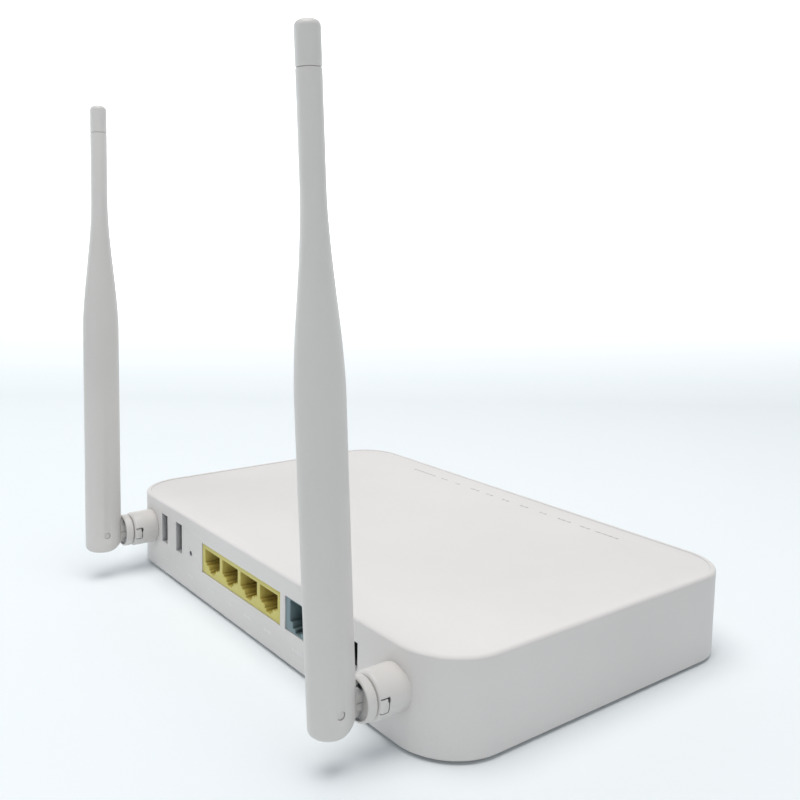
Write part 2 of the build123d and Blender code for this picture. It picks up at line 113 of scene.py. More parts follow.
# Power button: profiles of (Y or depth below the face, radius) in millimetres
button_stem = ((49.5, 1.95), (60.2, 1.95), (60.2, 3.9), (64.5, 3.9), (64.5, 4.9), (65.5, 4.9), (65.5, 3.9))
button_dish = ((0.05, 2.6), (0.3, 1.2), (0.35, 0.4))
button_radius = 3.9 * MM
button_edge = 0.7 * MM

# Optical socket and its dust cap: halves are (Y, Z)
optical_half = 6.3 * MM
optical_height = 9.4 * MM
optical_axis = 4.7 * MM
optical_floor = 96.5 * MM
optical_cavity = (4.6 * MM, 3.75 * MM)
optical_key = (1.3 * MM, 4.4 * MM)
ferrule_start = 96.0 * MM
ferrule = ((0, 2.0 * MM), (9.5 * MM, 2.0 * MM), (9.5 * MM, 1.27 * MM), (2 * MM, 1.27 * MM))
dust_head_start = 110.5 * MM
dust_plug = (4.3 * MM, 3.45 * MM)
dust_bore = (2.4 * MM, 10 * MM)  # radius, length
rib_count = 5
rib_pitch = 2.2 * MM
rib_half = 0.5 * MM
rib_depth = 0.35 * MM
rib_margin = 0.8 * MM

# Aerials: heights are measured from the hinge pin along the blade
collar_radius = 6.95 * MM
collar_length = 10.15 * MM
collar_corner = 1.3 * MM
collar_lap = 0.4 * MM
shaft_radius = 4.5 * MM
ring_radius = 6.45 * MM
ring_length = 3.2 * MM
dish_radius = 5.75 * MM
dish_depth = 1.3 * MM
joint_gap = 0.3 * MM
knuckle_swing = {"left": 0.0, "right": 5.3}
upright_stop = 2.5
blade_depth = 7.44 * MM
blade_thickness = 4.7 * MM
blade_foot = 6.8 * MM
blade_lip = 0.8 * MM
inner_corner = 4.6 * MM
outer_corner = 3.2 * MM
taper = (84.0 * MM, 139.0 * MM)
rod_radius = 3.34 * MM
cap_seam = 166.7 * MM
seam_depth = 0.30 * MM
blade_top = 178.0 * MM
cap_corner = 1.9 * MM
pin_radius = 1.25 * MM
tongue_radius = 4.2 * MM
tongue_half = 1.5 * MM
tongue_neck = 3.0 * MM

# Snap finger in a collar's wall, at angles about the collar's axis
finger_back = rear + 7.15 * MM
finger_length = 2.6 * MM
finger_edges = (166.0, 203.0)
finger_slit = 0.35 * MM
finger_width = 4.5 * MM
eye_angle = 171.0
eye_radius = 0.48 * MM
eye_stretch = 1.9

# Printed marks: X of the middle and width, in millimetres
status_marks = ((49.7, 15.1), (35.5, 3.5), (27.0, 3.0), (15.5, 5.7), (5.9, 3.5), (-3.9, 3.6),
                (-14.5, 4.3), (-25.3, 3.3), (-36.3, 6.6), (-46.7, 5.0), (-57.3, 10.8))
status_mark_y = -56.6 * MM
status_mark_height = 1.1 * MM
status_window = 1.1 * MM
port_marks = (("usb_1", 70.5, 5.0), ("usb_2", 56.9, 5.0), ("reset", 46.0, 4.6), ("lan_1", 28.0, 5.0),
              ("lan_2", 14.1, 5.0), ("lan_3", 0.1, 5.0), ("lan_4", -13.9, 5.0), ("phone", -32.75, 6.0),
              ("button", -48.5, 6.0), ("power", -61.2, 6.0))
port_mark_z = 7.4 * MM
port_mark_height = 1.3 * MM
mark_shapes = ((0.55, 1.0), (0.55, 0.62), (0.9, 0.30), (0.55, 1.0), (0.30, 1.0), (0.9, 0.30))
mark_gap = 0.32 * MM
least_mark = 0.2 * MM
mark_levels = (-0.05 * MM, 0.02 * MM)


# ---------------------------------------------------------------- mesh helpers

def new_piece(name, vertices, faces):
    """An object whose faces all look outwards."""
    mesh = bpy.data.meshes.new(name)
    mesh.from_pydata([tuple(v) for v in vertices], [], faces)
    piece = bpy.data.objects.new(name, mesh)
    bpy.context.scene.collection.objects.link(piece)
    work = bmesh.new()
    work.from_mesh(mesh)
    bmesh.ops.recalc_face_normals(work, faces=work.faces)
    work.to_mesh(mesh)
    work.free()
    return piece


def from_rings(name, rings):
    """A closed solid through a list of rings with the same number of points."""
    count = len(rings[0])
    vertices = [point for ring in rings for point in ring]
    faces = [tuple(range(count))]
    for level in range(len(rings) - 1):
        low = level * count
        for index in range(count):
            after = (index + 1) % count
            faces.append((low + index, low + after, low + count + after, low + count + index))
    faces.append(tuple(range((len(rings) - 1) * count, len(rings) * count)))
    return new_piece(name, vertices, faces)


def outline(inset, z, segments=20):
    """The housing's plan outline, inset all round, at one height."""
    points = []
    corners = ((side, rear, rear_corner, 0), (-side, rear, rear_corner, 90),
               (-side, front, front_corner, 180), (side, front, front_corner, 270))
    for x, y, radius, start in corners:
        middle_x = math.copysign(abs(x) - radius, x)
        middle_y = math.copysign(abs(y) - radius, y)
        reach = radius - inset
        for step in range(segments + 1):
            angle = math.radians(start + 90 * step / segments)
            around_x = middle_x + reach * math.cos(angle)
            around_y = middle_y + reach * math.sin(angle)
            points.append(Vector((around_x, around_y, z)))
    return points


def turned(name, centre, axis, profile, segments=64):
    """A solid of revolution: profile is (distance along the axis, radius) from one end to the other."""
    spin = Vector(ALONG_Z).rotation_difference(Vector(axis))
    rings = []
    for along, radius in profile:
        ring = []
        for index in range(segments):
            angle = 2 * math.pi * index / segments
            point = Vector((radius * math.cos(angle), radius * math.sin(angle), along))
            ring.append(Vector(centre) + spin @ point)
        rings.append(ring)
    return from_rings(name, rings)


def bore(start, axis, radius, length, segments=40):
    """A round cutter."""
    return turned("cut", start, axis, ((0, radius), (length, radius)), segments)


def column(name, outline_xy, z_low, z_high):
    """An outline in XY carried along Z."""
    return from_rings(name, [[Vector((x, y, z)) for x, y in outline_xy] for z in (z_low, z_high)])


def prism(name, outline_xz, y_low, y_high):
    """An outline in XZ carried along Y."""
    return from_rings(name, [[Vector((x, y, z)) for x, z in outline_xz] for y in (y_low, y_high)])


def plate(name, outline_yz, half):
    """An outline in YZ with a half thickness along X."""
    return from_rings(name, [[Vector((x, y, z)) for y, z in outline_yz] for x in (-half, half)])


def block(name, low, high):
    """A box between two corners."""
    x, y, z = zip(low, high)
    return column(name, ((x[0], y[0]), (x[1], y[0]), (x[1], y[1]), (x[0], y[1])), *z)


def box_middle(node):
    """The middle of a CAD node's box."""
    return [(low + high) / 2 for low, high in zip(*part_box(node))]


def stepped_outline(x, port_top, steps):
    """A socket mouth that narrows downwards in steps of (width, bottom), in millimetres."""
    right = []
    level = port_top
    for width, low in steps:
        right.append((x + width * MM / 2, level))
        right.append((x + width * MM / 2, low * MM))
        level = low * MM
    left = [(2 * x - px, pz) for px, pz in reversed(right)]
    return right + left


def quarter(centre, radius, start, steps):
    """Points of a quarter circle, anticlockwise from the start angle in degrees."""
    points = []
    for step in range(steps + 1):
        angle = math.radians(start + 90 * step / steps)
        points.append((centre[0] + radius * math.cos(angle), centre[1] + radius * math.sin(angle)))
    return points


def turned_corner(centre, radius, start, steps):
    """A quarter circle for a turned profile: the centre is (radius, distance along the axis)."""
    return [(along, out) for out, along in quarter(centre, radius, start, steps)]


def baked(piece):
    """Turn a piece's modifiers into its mesh."""
    bpy.context.view_layer.update()
    depsgraph = bpy.context.evaluated_depsgraph_get()
    mesh = bpy.data.meshes.new_from_object(piece.evaluated_get(depsgraph))
    piece.modifiers.clear()
    old = piece.data
    piece.data = mesh
    mesh.name = piece.name
    bpy.data.meshes.remove(old)
    return piece


def carve(piece, tools, operation="DIFFERENCE"):
    """Cut the tools out of a piece, or join them to it, and delete them."""
    for tool in tools:
        change = piece.modifiers.new("carve", "BOOLEAN")
        change.operation = operation
        change.solver = "EXACT"
        change.object = tool
    baked(piece)
    for tool in tools:
        mesh = tool.data
        bpy.data.objects.remove(tool)
        bpy.data.meshes.remove(mesh)


def smooth_shade(piece, angle=40):
    """Smooth shading that keeps edges over an angle crisp."""
    piece.data.shade_smooth()
    piece.data.set_sharp_from_angle(angle=math.radians(angle))


def soften(piece, width, segments=2, angle=35, smooth=40):
    """Round the hard edges a little, then shade the rounds smooth."""
    same_point = 1e-6
    flat_angle = math.radians(0.3)
    work = bmesh.new()
    work.from_mesh(piece.data)
    bmesh.ops.remove_doubles(work, verts=work.verts, dist=same_point)
    bmesh.ops.dissolve_limit(work, angle_limit=flat_angle, verts=work.verts, edges=work.edges)
    work.to_mesh(piece.data)
    work.free()
    round_edges = piece.modifiers.new("round", "BEVEL")
    round_edges.width = width
    round_edges.segments = segments
    round_edges.limit_method = "ANGLE"
    round_edges.angle_limit = math.radians(angle)
    round_edges.harden_normals = False
    baked(piece)
    smooth_shade(piece, smooth)


def place(piece, material, body, nodes=()):
    """Give a piece its material and its body, and hide the CAD nodes that it stands for."""
    piece.data.materials.clear()
    piece.data.materials.append(material)
    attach(piece, body)
    if nodes:
        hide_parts(*nodes)


# ---------------------------------------------------------------- materials

def dimmed(colour, factor):
    return tuple(channel * factor for channel in colour)


class Shader:
    """A small wrapper that builds one node material on a Principled surface."""

    def __init__(self, name, roughness=0.5, metallic=0.0, coat=0.0, specular=0.5):
        self.material = bpy.data.materials.new(name)
        self.material.use_nodes = True
        self.tree = self.material.node_tree
        self.surface = self.tree.nodes["Principled BSDF"]
        self.surface.inputs["Roughness"].default_value = roughness
        self.surface.inputs["Metallic"].default_value = metallic
        self.surface.inputs["Coat Weight"].default_value = coat
        self.surface.inputs["Specular IOR Level"].default_value = specular
        self.place = self.tree.nodes.new("ShaderNodeTexCoord").outputs["Object"]
        self.normal = None

    def node(self, kind, **values):
        made = self.tree.nodes.new(kind)
        for key, value in values.items():
            setattr(made, key, value)
        return made

    def link(self, output, target):
        self.tree.links.new(output, target)

    def noise(self, scale, detail=4.0, roughness=0.55, stretch=None):
        source = self.place
        if stretch:
            mapping = self.node("ShaderNodeMapping")
            mapping.inputs["Scale"].default_value = stretch
            self.link(source, mapping.inputs["Vector"])
            source = mapping.outputs["Vector"]
        made = self.node("ShaderNodeTexNoise")
        made.inputs["Scale"].default_value = scale
        made.inputs["Detail"].default_value = detail
        made.inputs["Roughness"].default_value = roughness
        self.link(source, made.inputs["Vector"])
        return made.outputs["Fac"]

    def span(self, value, low, high, start=0.3, end=0.7):
        """Map a value from start..end onto low..high."""
        made = self.node("ShaderNodeMapRange")
        made.inputs["From Min"].default_value = start
        made.inputs["From Max"].default_value = end
        made.inputs["To Min"].default_value = low
        made.inputs["To Max"].default_value = high
        self.link(value, made.inputs["Value"])
        return made.outputs["Result"]

    def mix(self, factor, first, second):
        """first and second are colours or sockets."""
        made = self.node("ShaderNodeMix", data_type="RGBA")
        self.link(factor, made.inputs["Factor"])
        for socket, value in ((made.inputs[6], first), (made.inputs[7], second)):
            if isinstance(value, tuple):
                socket.default_value = (*value, 1.0)
            else:
                self.link(value, socket)
        return made.outputs[2]

    def bump(self, value, strength, distance):
        made = self.node("ShaderNodeBump")
        made.inputs["Strength"].default_value = strength
        made.inputs["Distance"].default_value = distance
        self.link(value, made.inputs["Height"])
        if self.normal is not None:
            self.link(self.normal, made.inputs["Normal"])
        self.normal = made.outputs["Normal"]

    def edge_mask(self, radius):
        """Brightest along convex edges, where the rounded normal differs from the true one."""
        rounded = self.node("ShaderNodeBevel", samples=4)
        rounded.inputs["Radius"].default_value = radius
        true = self.node("ShaderNodeNewGeometry")
        product = self.node("ShaderNodeVectorMath", operation="DOT_PRODUCT")
        self.link(rounded.outputs["Normal"], product.inputs[0])
        self.link(true.outputs["Normal"], product.inputs[1])
        return self.span(product.outputs["Value"], 1.0, 0.0, 0.80, 0.99)

    def openness(self, distance):
        """1 where a surface lies open, towards 0 deep in a slot or hole of the same piece."""
        made = self.node("ShaderNodeAmbientOcclusion", samples=3, only_local=True)
        made.inputs["Distance"].default_value = distance
        return made.outputs["AO"]

    def finish(self, colour, roughness):
        self.link(colour, self.surface.inputs["Base Color"])
        self.link(roughness, self.surface.inputs["Roughness"])
        if self.normal is not None:
            self.link(self.normal, self.surface.inputs["Normal"])
        return self.material


def moulded(name, colour, shade=0.93, roughness=(0.42, 0.56), grain=2600.0, grain_strength=0.10,
            edge=None, painted_shade_hollows=(), reach=5 * MM):
    """Moulded plastic: slow colour drift, fine spark-eroded grain, uneven sheen, paler rubbed edges,
    and painted shade: a list of (openness, openness, colour) that darkens the slots and holes where shade
    falls."""
    made = Shader(name)
    drift = made.span(made.noise(9.0, 3.0), 0.0, 1.0, 0.38, 0.62)
    tone = made.mix(drift, dimmed(colour, shade), colour)
    speck = made.span(made.noise(900.0, 2.0), 0.0, 0.22, 0.62, 0.75)
    tone = made.mix(speck, tone, dimmed(colour, 0.90))
    if edge:
        rubbed = made.span(made.noise(240.0, 3.0), 0.0, 1.0, 0.45, 0.65)
        product = made.node("ShaderNodeMath", operation="MULTIPLY")
        made.link(made.edge_mask(0.35 * MM), product.inputs[0])
        made.link(rubbed, product.inputs[1])
        tone = made.mix(product.outputs["Value"], tone, edge)
    # Painted shade: ambient occlusion darkens the colour deep in slots, holes and creases of the piece.
    if painted_shade_hollows:
        open_share = made.openness(reach)
        for deep, shallow, painted_shade_colour in painted_shade_hollows:
            tone = made.mix(made.span(open_share, 1.0, 0.0, deep, shallow), tone, painted_shade_colour)
    sheen = made.span(made.noise(38.0, 4.0), *roughness)
    made.bump(made.noise(grain, 2.0, 0.6), grain_strength, 0.03 * MM)
    made.bump(made.noise(60.0, 2.0), 0.04, 0.2 * MM)
    return made.finish(tone, sheen)


def metal(name, colour, shade=0.75, roughness=(0.22, 0.40), stretch=(1.0, 1.0, 14.0)):
    """Plated or brushed metal: fine drawn lines, tarnish patches and uneven gloss."""
    made = Shader(name, metallic=1.0)
    tarnish = made.span(made.noise(70.0, 5.0), 0.0, 1.0, 0.35, 0.7)
    tone = made.mix(tarnish, colour, dimmed(colour, shade))
    lines = made.noise(420.0, 3.0, 0.6, stretch)
    made.bump(lines, 0.12, 0.05 * MM)
    return made.finish(tone, made.span(lines, *roughness))


def rubber(name, colour):
    """Matt rubber with pale dust."""
    made = Shader(name, specular=0.35)
    tone = made.mix(made.span(made.noise(120.0, 4.0), 0.0, 1.0), colour, dimmed(colour, 1.5))
    dust = made.span(made.noise(1500.0, 2.0), 0.0, 0.35, 0.6, 0.75)
    tone = made.mix(dust, tone, (0.33, 0.32, 0.30))
    made.bump(made.noise(2200.0, 3.0), 0.3, 0.05 * MM)
    return made.finish(tone, made.span(made.noise(90.0), 0.72, 0.9))


def laminate(name):
    """Circuit board: green mask with darker track bands and pale pad specks."""
    made = Shader(name, coat=0.4)
    tracks = made.node("ShaderNodeTexBrick")
    tracks.inputs["Scale"].default_value = 160.0
    tracks.inputs["Color1"].default_value = (0.020, 0.16, 0.07, 1)
    tracks.inputs["Color2"].default_value = (0.014, 0.11, 0.05, 1)
    tracks.inputs["Mortar"].default_value = (0.035, 0.22, 0.10, 1)
    tracks.inputs["Mortar Size"].default_value = 0.03
    made.link(made.place, tracks.inputs["Vector"])
    dots = made.node("ShaderNodeTexVoronoi")
    dots.inputs["Scale"].default_value = 260.0
    made.link(made.place, dots.inputs["Vector"])
    pads = made.span(dots.outputs["Distance"], 1.0, 0.0, 0.10, 0.14)
    tone = made.mix(pads, tracks.outputs["Color"], (0.62, 0.55, 0.34))
    made.bump(tracks.outputs["Fac"], 0.2, 0.05 * MM)
    return made.finish(tone, made.span(made.noise(80.0), 0.28, 0.42))


def clear(name):
    """Clear moulding with faint flow marks."""
    made = Shader(name)
    made.surface.inputs["Transmission Weight"].default_value = 0.92
    made.surface.inputs["IOR"].default_value = 1.58
    flow = made.span(made.noise(60.0), 0.0, 1.0)
    tone = made.mix(flow, (0.93, 0.95, 0.95), (0.86, 0.90, 0.90))
    made.bump(made.noise(300.0), 0.05, 0.05 * MM)
    return made.finish(tone, made.span(made.noise(200.0), 0.05, 0.14))


def print_ink(name, colour):
    """Printed ink of slightly uneven strength."""
    made = Shader(name, specular=0.4)
    strength = made.span(made.noise(1400.0, 3.0), 0.0, 1.0)
    tone = made.mix(strength, colour, dimmed(colour, 1.08))
    return made.finish(tone, made.span(made.noise(400.0), 0.5, 0.7))


# Painted shade in the housing, aerial and jack colours below: darker tones deep in slots, holes, hinge gaps
# and jack mouths.
housing = moulded("housing_plastic", (0.745, 0.716, 0.698), edge=(0.82, 0.80, 0.79),
                  painted_shade_hollows=((0.30, 0.90, (0.125, 0.165, 0.205)),), reach=9 * MM)
aerial = moulded("aerial_plastic", (0.72, 0.695, 0.67), roughness=(0.34, 0.48), grain_strength=0.05,
                 edge=(0.78, 0.77, 0.76), painted_shade_hollows=((0.15, 0.65, (0.10, 0.12, 0.14)),), reach=3 * MM)
# The yellow jack's mouths get two layers of painted shade: a deeper gold part way in, then near black.
yellow = moulded("yellow_jack_plastic", (0.62, 0.555, 0.14), roughness=(0.34, 0.46),
                 grain_strength=0.05, edge=(0.72, 0.67, 0.30), reach=8 * MM,
                 painted_shade_hollows=((0.50, 0.85, (0.56, 0.39, 0.08)), (0.10, 0.50, (0.04, 0.032, 0.010))))
grey = moulded("grey_jack_plastic", (0.19, 0.27, 0.29), roughness=(0.34, 0.46), grain_strength=0.05,
               edge=(0.30, 0.38, 0.40), painted_shade_hollows=((0.30, 0.85, (0.008, 0.014, 0.015)),), reach=9 * MM)
dark = moulded("dark_plastic", (0.055, 0.062, 0.070), shade=0.75, roughness=(0.40, 0.55))
black = moulded("black_plastic", (0.018, 0.019, 0.022), shade=0.7, roughness=(0.38, 0.52),
                edge=(0.08, 0.08, 0.08))
button = moulded("button_plastic", (0.66, 0.65, 0.64), roughness=(0.30, 0.42), grain_strength=0.04,
                 edge=(0.75, 0.75, 0.74))
green = moulded("green_socket_plastic", (0.035, 0.22, 0.085), shade=0.8, roughness=(0.30, 0.42),
                edge=(0.12, 0.36, 0.18))
cap_plastic = moulded("dust_cap_plastic", (0.60, 0.62, 0.60), roughness=(0.45, 0.60))
label = moulded("label_film", (0.70, 0.71, 0.72), roughness=(0.28, 0.36), grain_strength=0.02)
package = moulded("chip_package", (0.028, 0.028, 0.031), shade=0.8, roughness=(0.45, 0.62),
                  grain=1800.0)
sleeve = moulded("capacitor_sleeve", (0.03, 0.035, 0.075), roughness=(0.22, 0.34),
                 grain_strength=0.02)
ferrite = moulded("inductor_ferrite", (0.08, 0.08, 0.085), roughness=(0.5, 0.65))
diode = moulded("light_package", (0.78, 0.77, 0.62), roughness=(0.25, 0.35))
jacket = moulded("lead_jacket", (0.03, 0.03, 0.034), roughness=(0.35, 0.5), grain_strength=0.04)
pad = rubber("thermal_pad", (0.22, 0.28, 0.34))
foot_rubber = rubber("foot_rubber", (0.030, 0.030, 0.032))
steel = metal("screw_steel", (0.62, 0.62, 0.63))
tin = metal("tinned_steel", (0.66, 0.66, 0.64), shade=0.82)
# Painted shade: the USB shells' steel is coloured nearly black so that the USB slots read dark inside.
shell_steel_painted_shade = metal("usb_shell_steel", (0.115, 0.130, 0.150), shade=0.7, roughness=(0.38, 0.52))
nickel = metal("module_nickel", (0.62, 0.58, 0.50), shade=0.8)
aluminium = metal("heatsink_aluminium", (0.55, 0.56, 0.58), stretch=(1.0, 10.0, 1.0))
gold = metal("gold_contact", (0.86, 0.63, 0.24), shade=0.85, roughness=(0.18, 0.30))
brass = metal("radiator_brass", (0.72, 0.52, 0.22), shade=0.8)
board = laminate("board_laminate")
clear_plastic = clear("clear_plastic")
dark_ink = print_ink("status_ink", (0.24, 0.24, 0.25))
pale_ink = print_ink("port_ink", (0.76, 0.76, 0.75))

# CAD nodes that are shown as they come
carried = {
    "main_board": board, "main_chip": package, "memory_chips": package, "radio_chip": package,
    "lan_transformers": package, "thermal_pad": pad, "heatsink": aluminium, "radio_shield_can": tin,
    "optical_shield_can": tin, "capacitors": sleeve, "inductors": ferrite, "status_lights": diode,
    "status_light_guide": clear_plastic, "lan_jack_contacts": gold, "phone_jack_contacts": gold,
    "usb_contacts": gold, "usb_stands": dark, "usb_tongue_1": dark, "usb_tongue_2": dark,
    "power_jack_pin": tin, "power_jack_spring": tin, "power_switch": black, "reset_switch": black,
    "reset_plunger": dark, "optical_module": nickel, "cover_screws": steel, "board_screws": steel,
    "blank_label": label, "left_aerial_connector": gold, "right_aerial_connector": gold,
    "left_aerial_lead": jacket, "right_aerial_lead": jacket, "left_aerial_radiator": brass,
    "right_aerial_radiator": brass, "usb_socket_1": shell_steel_painted_shade, "usb_socket_2": shell_steel_painted_shade,
}
for node, material in carried.items():
    mesh = frame["nodes"][node].data
    mesh.materials.clear()
    mesh.materials.append(material)


# ---------------------------------------------------------------- housing

def cover_shape():
    """The cover's outside, over its rounded top edge and down the rim to the sunken top."""
    rings = [outline(bottom_edge, bottom), outline(0, bottom + bottom_edge)]
    steps = 6
    for step in range(steps + 1):
        angle = math.pi / 2 * step / steps
        inset = top_edge * (1 - math.cos(angle))
        rings.append(outline(inset, top - top_edge + top_edge * math.sin(angle)))
    rings.append(outline(rim, top))
    rings.append(outline(rim + rim_slope, top - rim_depth))
    return from_rings("top_cover_shell", rings)


def panel_cutters():
    """Everything that is cut through the rear panel, the front wall and the end wall."""
    low, high = inner_rear - overshoot, rear + overshoot
    tools = []
    for name in usb_names:
        x, _, z = box_middle(name)
        half_x, half_z = (size / 2 for size in usb_slot)
        tools.append(block("cut", (x - half_x, low, z - half_z), (x + half_x, high, z + half_z)))
    for name, face in (("lan_jack_block", lan_face), ("phone_jack", phone_face)):
        jack_low, jack_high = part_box(name)
        tools.append(block("cut", (jack_low.x - cover_gap, low, face[0] - cover_gap),
                           (jack_high.x + cover_gap, high, face[1] + cover_gap)))
    x_low, x_high, z_low, z_high = power_slot
    tools.append(block("cut", (x_low, low, z_low), (x_high, high, z_high)))
    for x, z, radius in (reset_hole, button_hole):
        tools.append(bore((x, low, z), ALONG_Y, radius, high - low, 48))
    for name in ("left_aerial_socket", "right_aerial_socket"):
        x, _, z = box_middle(name)
        tools.append(bore((x, low, z), ALONG_Y, collar_radius - collar_lap, high - low, 64))
    guide_z = box_middle("status_light_guide")[2]
    for x, _ in status_marks:
        start = (x * MM, front - overshoot, guide_z)
        tools.append(bore(start, ALONG_Y, status_window, wall + 2 * overshoot, 32))
    middle = box_middle("optical_socket")[1]
    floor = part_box("optical_socket")[0].z
    half = optical_half + cover_gap
    tools.append(block("cut", (side - wall - overshoot, middle - half, floor - cover_gap),
                       (side + overshoot, middle + half, floor + optical_height + cover_gap)))
    return tools


def build_cover():
    cover = cover_shape()
    carve(cover, [from_rings("cut", [outline(wall, bottom - overshoot), outline(wall, ceiling)])])
    carve(cover, panel_cutters())
    soften(cover, 0.14 * MM)
    place(cover, housing, "housing", ["top_cover"])


def keyhole_cutters(x, low, high):
    """A keyhole: a round entry, and a narrow slot with a round end."""
    entry_y, entry_radius = keyhole_entry
    end_y, half = keyhole_slot
    steps = 12
    narrow = []
    for step in range(steps + 1):
        angle = math.pi + math.pi * step / steps
        narrow.append((x + half * math.cos(angle), end_y + half * math.sin(angle)))
    narrow += [(x + half, entry_y), (x - half, entry_y)]
    entry = bore((x, entry_y, low), ALONG_Z, entry_radius, high - low, 48)
    return [entry, column("cut", narrow, low, high)]


def build_base():
    """The base plate, with screw bores, foot recesses, keyholes, vents and a label recess."""
    under = bottom - overshoot
    plate_top = bottom + base_thickness
    over = plate_top + overshoot
    inset = wall + cover_gap
    base = from_rings("base_plate", [outline(inset, bottom), outline(inset, plate_top)])
    tools = []
    for (reach_x, reach_y), radius, depth, segments in (screw_bores, foot_recesses):
        for x in (-reach_x, reach_x):
            for y in (-reach_y, reach_y):
                tools.append(bore((x, y, under), ALONG_Z, radius, overshoot + depth, segments))
    for x in (-keyhole_x, keyhole_x):
        tools += keyhole_cutters(x, under, over)
    half_x, half_y = vent_half
    for y in vent_rows:
        for index in range(vent_count):
            x = (index - vent_count // 2) * vent_pitch
            tools.append(block("cut", (x - half_x, y - half_y, under), (x + half_x, y + half_y, over)))
    label_low, label_high = label_recess
    tools.append(block("cut", (*label_low, under), (*label_high, bottom + label_depth)))
    carve(base, tools)
    soften(base, 0.12 * MM)
    place(base, housing, "housing", ["base_cover"])


def build_feet():
    foot_low, foot_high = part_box("rubber_feet")
    reach_x, reach_y = foot_high.x - foot_radius, foot_high.y - foot_radius
    profile = [(0.0, 5.4 * MM), (0.05 * MM, 5.55 * MM), (0.35 * MM, 5.9 * MM),
               (0.6 * MM, foot_radius), (1.8 * MM, foot_radius)]
    nodes = ["rubber_feet"]  # the first foot stands for the node of all four
    for x_name, x in (("left", -reach_x), ("right", reach_x)):
        for y_name, y in (("front", -reach_y), ("rear", reach_y)):
            foot = turned(f"rubber_foot_{x_name}_{y_name}", (x, y, foot_low.z), ALONG_Z, profile)
            smooth_shade(foot)
            place(foot, foot_rubber, "housing", nodes)
            nodes = []


def mark_row(name, x, width, origin, axes, height, material):
    """A printed label made of plain dots and bars, which spells nothing."""
    right, up, normal = axes
    corners = 8
    squareness = 1.3
    vertices, faces = [], []
    cursor = -width / 2
    index = 0
    while cursor < width / 2 - least_mark:
        shape_width, shape_height = mark_shapes[index % len(mark_shapes)]
        wide = min(shape_width * MM, width / 2 - cursor)
        tall = height * shape_height
        low = len(vertices)
        for level in mark_levels:
            for corner in range(corners):
                angle = 2 * math.pi * (corner + 0.5) / corners
                across = wide / 2 * max(-1, min(1, squareness * math.cos(angle)))
                along = tall / 2 * max(-1, min(1, squareness * math.sin(angle)))
                out = origin + right * (x + cursor + wide / 2 + across)
                vertices.append(out + up * along + normal * level)
        high = low + corners
        faces.append(tuple(range(low, high)))
        faces.append(tuple(range(high, high + corners)))
        for corner in range(corners):
            after = (corner + 1) % corners
            faces.append((low + corner, low + after, high + after, high + corner))
        cursor += wide + mark_gap
        index += 1
    marks = new_piece(name, vertices, faces)
    smooth_shade(marks, 30)
    place(marks, material, "housing")


def build_marks():
    x_axis, y_axis, z_axis = (Vector(axis) for axis in (ALONG_X, ALONG_Y, ALONG_Z))
    origin = Vector((0, status_mark_y, top - rim_depth))
    for number, (x, width) in enumerate(status_marks, start=1):
        mark_row(f"status_mark_{number}", x * MM, width * MM, origin, (x_axis, y_axis, z_axis),
                 status_mark_height, dark_ink)
    origin = Vector((0, rear, port_mark_z))
    for name, x, width in port_marks:
        mark_row(f"port_mark_{name}", -x * MM, width * MM, origin, (-x_axis, z_axis, y_axis),
                 port_mark_height, pale_ink)


# ---------------------------------------------------------------- sockets

def build_jack(name, node, face_bottom, mouths, floor, material):
    """A jack with its cavities, stepped in below so that its face fits the opening in the panel."""
    low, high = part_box(node)
    body = block(name, (low.x, low.y, low.z), (high.x, inner_rear - jack_setback, high.z))
    carve(body, [block("cut", (low.x, inner_rear - jack_lap, face_bottom), high)], "UNION")
    carve(body, [prism("cut", mouth, floor, high.y + overshoot) for mouth in mouths])
    soften(body, 0.13 * MM)
    place(body, material, "housing", [node])


def build_jacks():
    middle = box_middle("lan_jack_block")[0]
    centres = [middle + (index - (lan_count - 1) / 2) * lan_pitch for index in range(lan_count)]
    mouths = [stepped_outline(x, lan_port_top, lan_steps) for x in centres]
    build_jack("lan_jack_body", "lan_jack_block", lan_face[0], mouths, lan_floor, yellow)
    mouths = [stepped_outline(box_middle("phone_jack")[0], phone_port_top, phone_steps)]
    build_jack("phone_jack_body", "phone_jack", phone_face[0], mouths, phone_floor, grey)


def build_power_jack():
    low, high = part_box("power_jack")
    x, _, z = box_middle("power_jack_pin")
    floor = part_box("power_jack_pin")[0].y
    body = block("power_jack_body", low, high)
    carve(body, [bore((x, floor, z), ALONG_Y, power_bore, high.y - floor + overshoot, 48)])
    soften(body, 0.2 * MM)
    place(body, black, "housing", ["power_jack"])


def build_button():
    x, _, z = box_middle("power_button")
    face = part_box("power_button")[1].y
    profile = [(along * MM, radius * MM) for along, radius in button_stem]
    profile += turned_corner((button_radius - button_edge, face - button_edge), button_edge, 0, 6)
    profile += [(face - depth * MM, radius * MM) for depth, radius in button_dish]
    piece = turned("power_button_cap", (x, 0, z), ALONG_Y, profile, 72)
    smooth_shade(piece)
    place(piece, button, "power_button", ["power_button"])


def build_optical_socket():
    low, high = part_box("optical_socket")
    y, z = (low.y + high.y) / 2, low.z + optical_axis
    body = block("optical_socket_body", (low.x, y - optical_half, low.z),
                 (high.x, y + optical_half, low.z + optical_height))
    inside = side - wall
    flange = block("cut", (inside - 2 * MM, low.y, low.z), (inside - 0.1 * MM, high.y, high.z))
    carve(body, [flange], "UNION")
    mouth = high.x + overshoot
    half_y, half_z = optical_cavity
    cavity = block("cut", (optical_floor, y - half_y, z - half_z), (mouth, y + half_y, z + half_z))
    half_y, key_top = optical_key
    key = block("cut", (optical_floor, y - half_y, z), (mouth, y + half_y, z + key_top))
    carve(body, [cavity, key])
    carve(body, [turned("cut", (ferrule_start, y, z), ALONG_X, ferrule, 40)], "UNION")
    soften(body, 0.25 * MM)
    place(body, green, "housing", ["optical_socket"])


